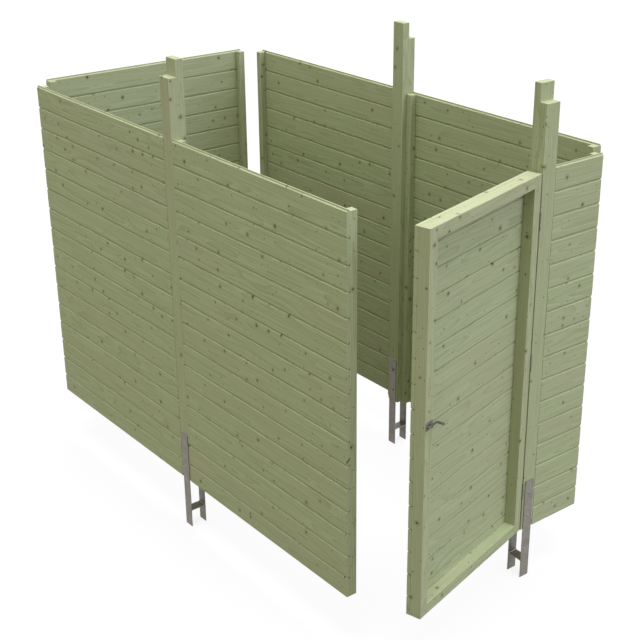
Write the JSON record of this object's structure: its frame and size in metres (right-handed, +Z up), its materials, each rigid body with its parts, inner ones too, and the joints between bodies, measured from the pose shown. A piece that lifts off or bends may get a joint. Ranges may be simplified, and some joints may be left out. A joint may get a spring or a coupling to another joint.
{
  "type": "timber storage room of a carport",
  "caption": "Open-topped boarded storage room with notched posts on steel anchors and a framed hinged door.",
  "frame": {"origin": "middle of the footprint box with the door at rest, on the level of the anchor feet", "axes": "+Z up, +Y from the front wall with the door to the rear wall, +X to the right as seen from the front"},
  "size_m": [1.645, 3.4152, 2.705],
  "materials": {
    "cladding": "pressure-treated softwood boards, planed",
    "batten": "pressure-treated softwood, planed",
    "post": "pressure-treated laminated softwood, planed",
    "door_frame": "pressure-treated softwood, planed",
    "anchor_steel": "hot-dip galvanised, dull",
    "hinge_steel": "zinc-plated",
    "bolt_steel": "zinc-plated, dull"
  },
  "bodies": {
    "frame": {"left_wall_front_boards": "cladding", "left_wall_rear_boards": "cladding", "right_wall_front_boards": "cladding", "right_wall_rear_boards": "cladding", "rear_wall_boards": "cladding", "front_wall_boards": "cladding", "left_wall_front_batten_near": "batten", "left_wall_front_batten_far": "batten", "left_wall_rear_batten_near": "batten", "left_wall_rear_batten_far": "batten", "right_wall_front_batten_near": "batten", "right_wall_front_batten_far": "batten", "right_wall_rear_batten_near": "batten", "right_wall_rear_batten_far": "batten", "rear_wall_batten_left": "batten", "rear_wall_batten_right": "batten", "front_wall_batten_left": "batten", "front_wall_batten_right": "batten", "left_post": "post", "right_post": "post", "front_post": "post", "left_anchor": "anchor_steel", "right_anchor": "anchor_steel", "front_anchor": "anchor_steel", "upper_hinge_post_leaf": "hinge_steel", "middle_hinge_post_leaf": "hinge_steel", "lower_hinge_post_leaf": "hinge_steel"},
    "door": {"upper_hinge_door_leaf": "hinge_steel", "middle_hinge_door_leaf": "hinge_steel", "lower_hinge_door_leaf": "hinge_steel", "door_lock_stile": "door_frame", "door_hinge_stile": "door_frame", "door_top_rail": "door_frame", "door_bottom_rail": "door_frame", "door_boards": "cladding", "bolt_plate": "bolt_steel"},
    "slide_bolt": {"bolt_bar": "bolt_steel"}
  },
  "joints": [
    {"name": "door_swing", "type": "hinge", "parent": "frame", "child": "door", "pos_m": [0.271, -1.4399, 1.295], "axis": [0, 0, 1], "range_deg": [-14.7, 100]},
    {"name": "bolt_slide", "type": "slide", "parent": "door", "child": "slide_bolt", "axis": [-0.9673, -0.2538, 0], "range_m": [0, 0.028]}
  ]
}
